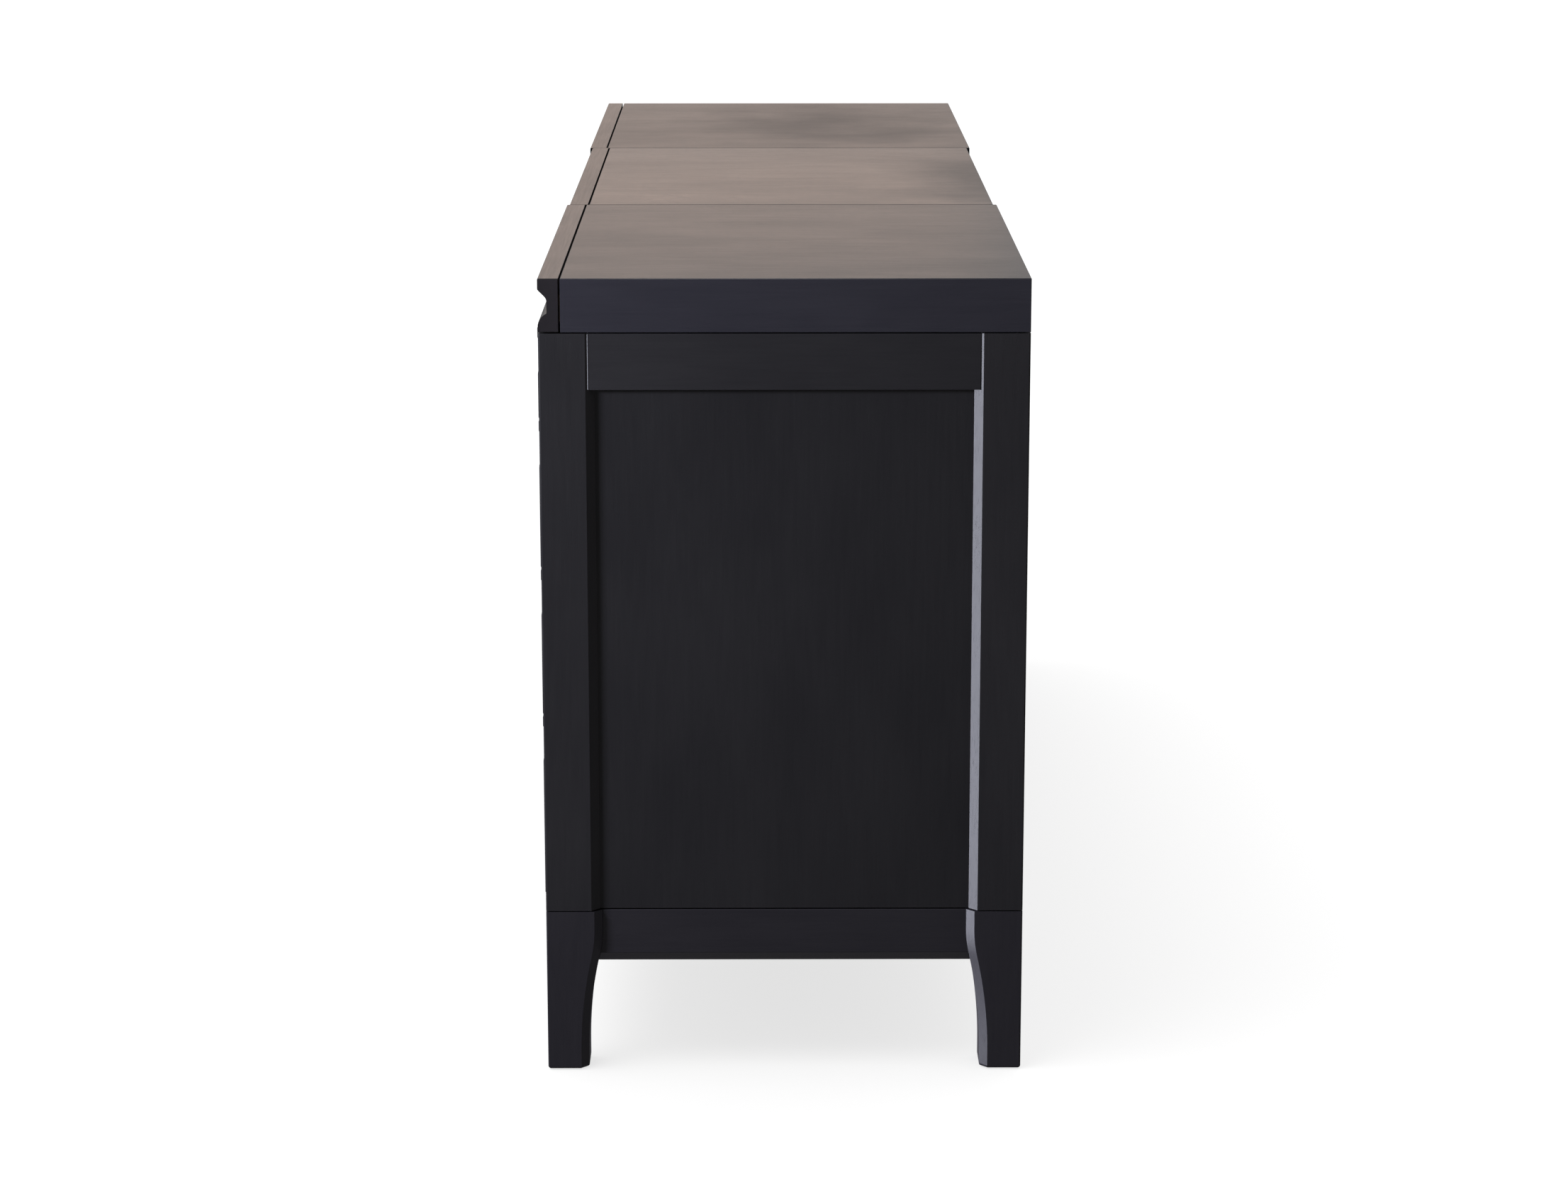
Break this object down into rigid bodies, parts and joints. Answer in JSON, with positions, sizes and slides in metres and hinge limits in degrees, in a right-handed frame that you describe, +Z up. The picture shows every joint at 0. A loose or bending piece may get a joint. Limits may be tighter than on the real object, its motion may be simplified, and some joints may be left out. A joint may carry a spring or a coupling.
{
  "type": "dresser with drawers",
  "caption": "Long low dresser with graduated drawers, shallow top drawers behind scooped fronts, chamfered corner posts, recessed side panels and tapered feet.",
  "frame": {"origin": "on the floor, under the middle of the overall box", "axes": "+X to the right along the length as seen from the front, +Y to the back, +Z up; the drawer fronts face -Y"},
  "size_m": [1.83, 0.514, 0.861],
  "materials": {
    "black_stain": "satin lacquer over black stain, fine grain",
    "back_stain": "matte black stain",
    "frame_wood": "dark stain, unpolished",
    "drawer_wood": "clear matte lacquer",
    "runner_wood": "waxed hardwood",
    "screw_steel": "zinc plated",
    "glide_nylon": "matte"
  },
  "bodies": {
    "case": {"back_panels": "back_stain", "base_corner_blocks": "frame_wood", "base_end_rails": "black_stain", "base_long_rails": "black_stain", "bottom_board": "frame_wood", "case_screws": "screw_steel", "drawer_rails": "frame_wood", "drawer_runners": "runner_wood", "foot_front_left": "black_stain", "foot_front_right": "black_stain", "foot_glides": "glide_nylon", "foot_rear_left": "black_stain", "foot_rear_right": "black_stain", "partition_left": "black_stain", "partition_right": "black_stain", "post_front_left": "black_stain", "post_front_right": "black_stain", "post_rear_left": "black_stain", "post_rear_right": "black_stain", "side_panel_left": "black_stain", "side_panel_right": "black_stain", "side_top_rail_left": "black_stain", "side_top_rail_right": "black_stain", "top_board_center": "black_stain", "top_board_left": "black_stain", "top_board_right": "black_stain", "top_case_center": "black_stain", "top_case_left": "black_stain", "top_case_right": "black_stain", "top_stretchers": "frame_wood"},
    "top_drawer_left": {"top_drawer_front_left": "black_stain", "top_drawer_box_left": "drawer_wood"},
    "drawer_left_1": {"drawer_front_left_1": "black_stain", "drawer_box_left_1": "drawer_wood"},
    "drawer_left_2": {"drawer_front_left_2": "black_stain", "drawer_box_left_2": "drawer_wood"},
    "drawer_left_3": {"drawer_front_left_3": "black_stain", "drawer_box_left_3": "drawer_wood"},
    "drawer_left_4": {"drawer_front_left_4": "black_stain", "drawer_box_left_4": "drawer_wood"},
    "top_drawer_center": {"top_drawer_front_center": "black_stain", "top_drawer_box_center": "drawer_wood"},
    "drawer_center_1": {"drawer_front_center_1": "black_stain", "drawer_box_center_1": "drawer_wood"},
    "drawer_center_2": {"drawer_front_center_2": "black_stain", "drawer_box_center_2": "drawer_wood"},
    "drawer_center_3": {"drawer_front_center_3": "black_stain", "drawer_box_center_3": "drawer_wood"},
    "drawer_center_4": {"drawer_front_center_4": "black_stain", "drawer_box_center_4": "drawer_wood"},
    "top_drawer_right": {"top_drawer_front_right": "black_stain", "top_drawer_box_right": "drawer_wood"},
    "drawer_right_1": {"drawer_front_right_1": "black_stain", "drawer_box_right_1": "drawer_wood"},
    "drawer_right_2": {"drawer_front_right_2": "black_stain", "drawer_box_right_2": "drawer_wood"},
    "drawer_right_3": {"drawer_front_right_3": "black_stain", "drawer_box_right_3": "drawer_wood"},
    "drawer_right_4": {"drawer_front_right_4": "black_stain", "drawer_box_right_4": "drawer_wood"}
  },
  "joints": [
    {"name": "top_drawer_left_slide", "type": "slide", "parent": "case", "child": "top_drawer_left", "axis": [0, -1, 0], "range_m": [0, 0.3]},
    {"name": "drawer_left_1_slide", "type": "slide", "parent": "case", "child": "drawer_left_1", "axis": [0, -1, 0], "range_m": [0, 0.33]},
    {"name": "drawer_left_2_slide", "type": "slide", "parent": "case", "child": "drawer_left_2", "axis": [0, -1, 0], "range_m": [0, 0.33]},
    {"name": "drawer_left_3_slide", "type": "slide", "parent": "case", "child": "drawer_left_3", "axis": [0, -1, 0], "range_m": [0, 0.33]},
    {"name": "drawer_left_4_slide", "type": "slide", "parent": "case", "child": "drawer_left_4", "axis": [0, -1, 0], "range_m": [0, 0.33]},
    {"name": "top_drawer_center_slide", "type": "slide", "parent": "case", "child": "top_drawer_center", "axis": [0, -1, 0], "range_m": [0, 0.3]},
    {"name": "drawer_center_1_slide", "type": "slide", "parent": "case", "child": "drawer_center_1", "axis": [0, -1, 0], "range_m": [0, 0.33]},
    {"name": "drawer_center_2_slide", "type": "slide", "parent": "case", "child": "drawer_center_2", "axis": [0, -1, 0], "range_m": [0, 0.33]},
    {"name": "drawer_center_3_slide", "type": "slide", "parent": "case", "child": "drawer_center_3", "axis": [0, -1, 0], "range_m": [0, 0.33]},
    {"name": "drawer_center_4_slide", "type": "slide", "parent": "case", "child": "drawer_center_4", "axis": [0, -1, 0], "range_m": [0, 0.33]},
    {"name": "top_drawer_right_slide", "type": "slide", "parent": "case", "child": "top_drawer_right", "axis": [0, -1, 0], "range_m": [0, 0.3]},
    {"name": "drawer_right_1_slide", "type": "slide", "parent": "case", "child": "drawer_right_1", "axis": [0, -1, 0], "range_m": [0, 0.33]},
    {"name": "drawer_right_2_slide", "type": "slide", "parent": "case", "child": "drawer_right_2", "axis": [0, -1, 0], "range_m": [0, 0.33]},
    {"name": "drawer_right_3_slide", "type": "slide", "parent": "case", "child": "drawer_right_3", "axis": [0, -1, 0], "range_m": [0, 0.33]},
    {"name": "drawer_right_4_slide", "type": "slide", "parent": "case", "child": "drawer_right_4", "axis": [0, -1, 0], "range_m": [0, 0.33]}
  ]
}
